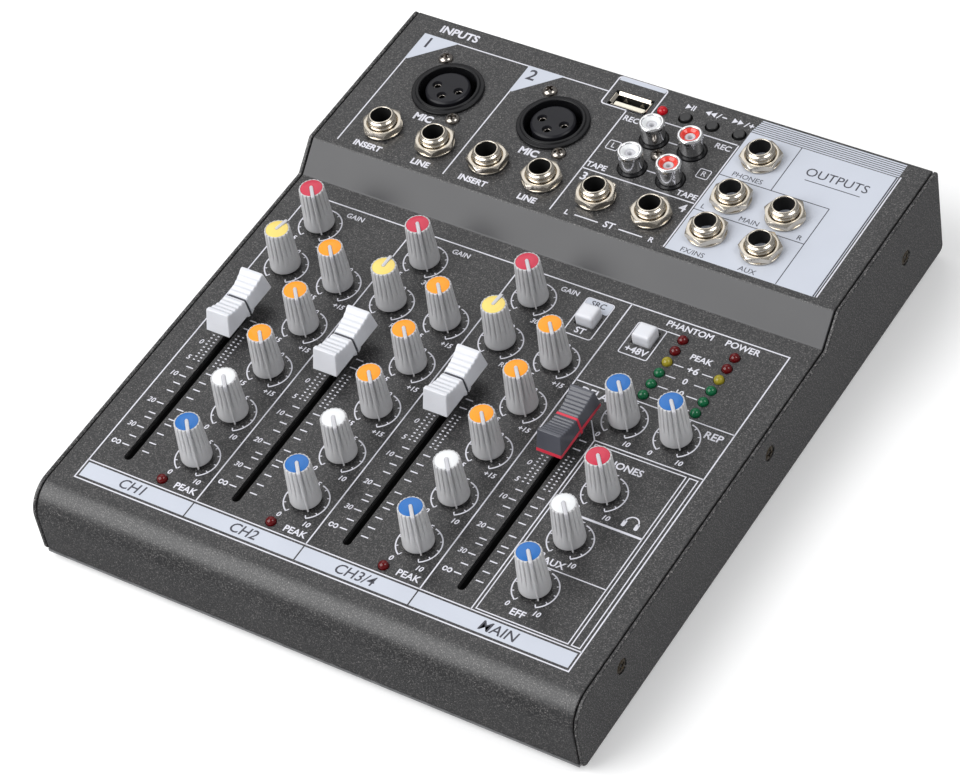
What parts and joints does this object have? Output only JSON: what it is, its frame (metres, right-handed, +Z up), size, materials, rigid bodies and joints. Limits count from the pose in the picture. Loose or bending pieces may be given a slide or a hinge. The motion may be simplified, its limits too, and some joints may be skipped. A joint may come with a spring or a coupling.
{
  "type": "mixing console",
  "caption": "Tabletop audio mixer: folded steel case with a control panel of knobs and slide faders, and a raised panel of sockets behind it.",
  "frame": {"origin": "middle of the footprint, on the surface that the rubber feet stand on", "axes": "+Z up, +Y from the front edge with the faders to the raised socket panel, +X to the user's right"},
  "size_m": [0.2, 0.234, 0.0475],
  "materials": {
    "powder_coat": "matte",
    "zinc_steel": "satin",
    "rubber": "matte",
    "knob_grey": "satin",
    "cap_white": "satin",
    "cap_dark": "satin",
    "cap_red": "gloss",
    "cap_yellow": "gloss",
    "cap_orange": "gloss",
    "cap_blue": "gloss",
    "socket_black": "satin",
    "nickel": "gloss",
    "board_green": "satin",
    "print_white": "matte",
    "lens_red": "gloss",
    "lens_yellow": "gloss",
    "lens_green": "gloss"
  },
  "bodies": {
    "root": {"top_cover": "powder_coat", "left_side_panel": "powder_coat", "right_side_panel": "powder_coat", "bottom_pan": "zinc_steel", "front_left_foot": "rubber", "front_right_foot": "rubber", "rear_left_foot": "rubber", "rear_right_foot": "rubber", "insert_1_jack": "nickel", "line_1_jack": "nickel", "insert_2_jack": "nickel", "line_2_jack": "nickel", "stereo_left_jack": "nickel", "stereo_right_jack": "nickel", "effect_jack": "nickel", "aux_jack": "nickel", "main_left_jack": "nickel", "main_right_jack": "nickel", "phones_jack": "nickel", "xlr_socket_1": "socket_black", "xlr_socket_2": "socket_black", "rca_block": "nickel", "usb_port": "nickel", "control_board": "board_green", "connector_board": "board_green"},
    "ch1_gain_knob": {"ch1_gain_knob": "knob_grey"},
    "ch1_pan_knob": {"ch1_pan_knob": "knob_grey"},
    "ch1_effect_knob": {"ch1_effect_knob": "knob_grey"},
    "ch1_aux_knob": {"ch1_aux_knob": "knob_grey"},
    "ch1_low_knob": {"ch1_low_knob": "knob_grey"},
    "ch1_mid_knob": {"ch1_mid_knob": "knob_grey"},
    "ch1_high_knob": {"ch1_high_knob": "knob_grey"},
    "ch2_gain_knob": {"ch2_gain_knob": "knob_grey"},
    "ch2_pan_knob": {"ch2_pan_knob": "knob_grey"},
    "ch2_effect_knob": {"ch2_effect_knob": "knob_grey"},
    "ch2_aux_knob": {"ch2_aux_knob": "knob_grey"},
    "ch2_low_knob": {"ch2_low_knob": "knob_grey"},
    "ch2_mid_knob": {"ch2_mid_knob": "knob_grey"},
    "ch2_high_knob": {"ch2_high_knob": "knob_grey"},
    "ch3_gain_knob": {"ch3_gain_knob": "knob_grey"},
    "ch3_pan_knob": {"ch3_pan_knob": "knob_grey"},
    "ch3_effect_knob": {"ch3_effect_knob": "knob_grey"},
    "ch3_aux_knob": {"ch3_aux_knob": "knob_grey"},
    "ch3_low_knob": {"ch3_low_knob": "knob_grey"},
    "ch3_mid_knob": {"ch3_mid_knob": "knob_grey"},
    "ch3_high_knob": {"ch3_high_knob": "knob_grey"},
    "delay_knob": {"delay_knob": "knob_grey"},
    "repeat_knob": {"repeat_knob": "knob_grey"},
    "main_effect_knob": {"main_effect_knob": "knob_grey"},
    "main_aux_knob": {"main_aux_knob": "knob_grey"},
    "phones_knob": {"phones_knob": "knob_grey"},
    "ch1_fader": {"ch1_fader": "cap_white"},
    "ch2_fader": {"ch2_fader": "cap_white"},
    "ch3_fader": {"ch3_fader": "cap_white"},
    "main_fader": {"main_fader": "cap_dark"},
    "select_button": {"select_button": "cap_white"},
    "phantom_button": {"phantom_button": "cap_white"},
    "play_button": {"play_button": "socket_black"},
    "previous_button": {"previous_button": "socket_black"},
    "next_button": {"next_button": "socket_black"}
  },
  "joints": [
    {"name": "ch1_gain_turn", "type": "hinge", "parent": "root", "child": "ch1_gain_knob", "pos_m": [-0.0794, 0.02165, 0.0293], "axis": [0, 0, -1], "range_deg": [-290, 10]},
    {"name": "ch1_pan_turn", "type": "hinge", "parent": "root", "child": "ch1_pan_knob", "pos_m": [-0.0794, 0.0011, 0.0293], "axis": [0, 0, -1], "range_deg": [-162, 138]},
    {"name": "ch1_effect_turn", "type": "hinge", "parent": "root", "child": "ch1_effect_knob", "pos_m": [-0.05867, -0.0811, 0.0293], "axis": [0, 0, -1], "range_deg": [-290, 10]},
    {"name": "ch1_aux_turn", "type": "hinge", "parent": "root", "child": "ch1_aux_knob", "pos_m": [-0.05867, -0.06055, 0.0293], "axis": [0, 0, -1], "range_deg": [-290, 10]},
    {"name": "ch1_low_turn", "type": "hinge", "parent": "root", "child": "ch1_low_knob", "pos_m": [-0.05867, -0.04, 0.0293], "axis": [0, 0, -1], "range_deg": [-290, 10]},
    {"name": "ch1_mid_turn", "type": "hinge", "parent": "root", "child": "ch1_mid_knob", "pos_m": [-0.05867, -0.01945, 0.0293], "axis": [0, 0, -1], "range_deg": [-290, 10]},
    {"name": "ch1_high_turn", "type": "hinge", "parent": "root", "child": "ch1_high_knob", "pos_m": [-0.05867, 0.0011, 0.0293], "axis": [0, 0, -1], "range_deg": [-290, 10]},
    {"name": "ch2_gain_turn", "type": "hinge", "parent": "root", "child": "ch2_gain_knob", "pos_m": [-0.03795, 0.02165, 0.0293], "axis": [0, 0, -1], "range_deg": [-290, 10]},
    {"name": "ch2_pan_turn", "type": "hinge", "parent": "root", "child": "ch2_pan_knob", "pos_m": [-0.03795, 0.0011, 0.0293], "axis": [0, 0, -1], "range_deg": [-150, 150]},
    {"name": "ch2_effect_turn", "type": "hinge", "parent": "root", "child": "ch2_effect_knob", "pos_m": [-0.01723, -0.0811, 0.0293], "axis": [0, 0, -1], "range_deg": [-290, 10]},
    {"name": "ch2_aux_turn", "type": "hinge", "parent": "root", "child": "ch2_aux_knob", "pos_m": [-0.01723, -0.06055, 0.0293], "axis": [0, 0, -1], "range_deg": [-290, 10]},
    {"name": "ch2_low_turn", "type": "hinge", "parent": "root", "child": "ch2_low_knob", "pos_m": [-0.01723, -0.04, 0.0293], "axis": [0, 0, -1], "range_deg": [-290, 10]},
    {"name": "ch2_mid_turn", "type": "hinge", "parent": "root", "child": "ch2_mid_knob", "pos_m": [-0.01723, -0.01945, 0.0293], "axis": [0, 0, -1], "range_deg": [-290, 10]},
    {"name": "ch2_high_turn", "type": "hinge", "parent": "root", "child": "ch2_high_knob", "pos_m": [-0.01723, 0.0011, 0.0293], "axis": [0, 0, -1], "range_deg": [-290, 10]},
    {"name": "ch3_gain_turn", "type": "hinge", "parent": "root", "child": "ch3_gain_knob", "pos_m": [0.0035, 0.02165, 0.0293], "axis": [0, 0, -1], "range_deg": [-290, 10]},
    {"name": "ch3_pan_turn", "type": "hinge", "parent": "root", "child": "ch3_pan_knob", "pos_m": [0.0035, 0.0011, 0.0293], "axis": [0, 0, -1], "range_deg": [-154, 146]},
    {"name": "ch3_effect_turn", "type": "hinge", "parent": "root", "child": "ch3_effect_knob", "pos_m": [0.02423, -0.0811, 0.0293], "axis": [0, 0, -1], "range_deg": [-290, 10]},
    {"name": "ch3_aux_turn", "type": "hinge", "parent": "root", "child": "ch3_aux_knob", "pos_m": [0.02423, -0.06055, 0.0293], "axis": [0, 0, -1], "range_deg": [-290, 10]},
    {"name": "ch3_low_turn", "type": "hinge", "parent": "root", "child": "ch3_low_knob", "pos_m": [0.02423, -0.04, 0.0293], "axis": [0, 0, -1], "range_deg": [-290, 10]},
    {"name": "ch3_mid_turn", "type": "hinge", "parent": "root", "child": "ch3_mid_knob", "pos_m": [0.02423, -0.01945, 0.0293], "axis": [0, 0, -1], "range_deg": [-290, 10]},
    {"name": "ch3_high_turn", "type": "hinge", "parent": "root", "child": "ch3_high_knob", "pos_m": [0.02423, 0.0011, 0.0293], "axis": [0, 0, -1], "range_deg": [-290, 10]},
    {"name": "delay_turn", "type": "hinge", "parent": "root", "child": "delay_knob", "pos_m": [0.0564, -0.0116, 0.0293], "axis": [0, 0, -1], "range_deg": [-290, 10]},
    {"name": "repeat_turn", "type": "hinge", "parent": "root", "child": "repeat_knob", "pos_m": [0.075, -0.0116, 0.0293], "axis": [0, 0, -1], "range_deg": [-290, 10]},
    {"name": "main_effect_turn", "type": "hinge", "parent": "root", "child": "main_effect_knob", "pos_m": [0.06567, -0.0811, 0.0293], "axis": [0, 0, -1], "range_deg": [-290, 10]},
    {"name": "main_aux_turn", "type": "hinge", "parent": "root", "child": "main_aux_knob", "pos_m": [0.06567, -0.06055, 0.0293], "axis": [0, 0, -1], "range_deg": [-290, 10]},
    {"name": "phones_turn", "type": "hinge", "parent": "root", "child": "phones_knob", "pos_m": [0.06567, -0.04, 0.0293], "axis": [0, 0, -1], "range_deg": [-290, 10]},
    {"name": "ch1_fader_slide", "type": "slide", "parent": "root", "child": "ch1_fader", "axis": [0, -1, 0], "range_m": [0, 0.06]},
    {"name": "ch2_fader_slide", "type": "slide", "parent": "root", "child": "ch2_fader", "axis": [0, -1, 0], "range_m": [0, 0.06]},
    {"name": "ch3_fader_slide", "type": "slide", "parent": "root", "child": "ch3_fader", "axis": [0, -1, 0], "range_m": [0, 0.06]},
    {"name": "main_fader_slide", "type": "slide", "parent": "root", "child": "main_fader", "axis": [0, -1, 0], "range_m": [0, 0.06]},
    {"name": "select_press", "type": "slide", "parent": "root", "child": "select_button", "axis": [0, 0, -1], "range_m": [0, 0.002], "stiffness_N_per_m": 300, "springref_m": -0.002},
    {"name": "phantom_press", "type": "slide", "parent": "root", "child": "phantom_button", "axis": [0, 0, -1], "range_m": [0, 0.002], "stiffness_N_per_m": 300, "springref_m": -0.002},
    {"name": "play_press", "type": "slide", "parent": "root", "child": "play_button", "axis": [0, 0, -1], "range_m": [0, 0.0005], "stiffness_N_per_m": 800, "springref_m": -0.001},
    {"name": "previous_press", "type": "slide", "parent": "root", "child": "previous_button", "axis": [0, 0, -1], "range_m": [0, 0.0005], "stiffness_N_per_m": 800, "springref_m": -0.001},
    {"name": "next_press", "type": "slide", "parent": "root", "child": "next_button", "axis": [0, 0, -1], "range_m": [0, 0.0005], "stiffness_N_per_m": 800, "springref_m": -0.001}
  ]
}
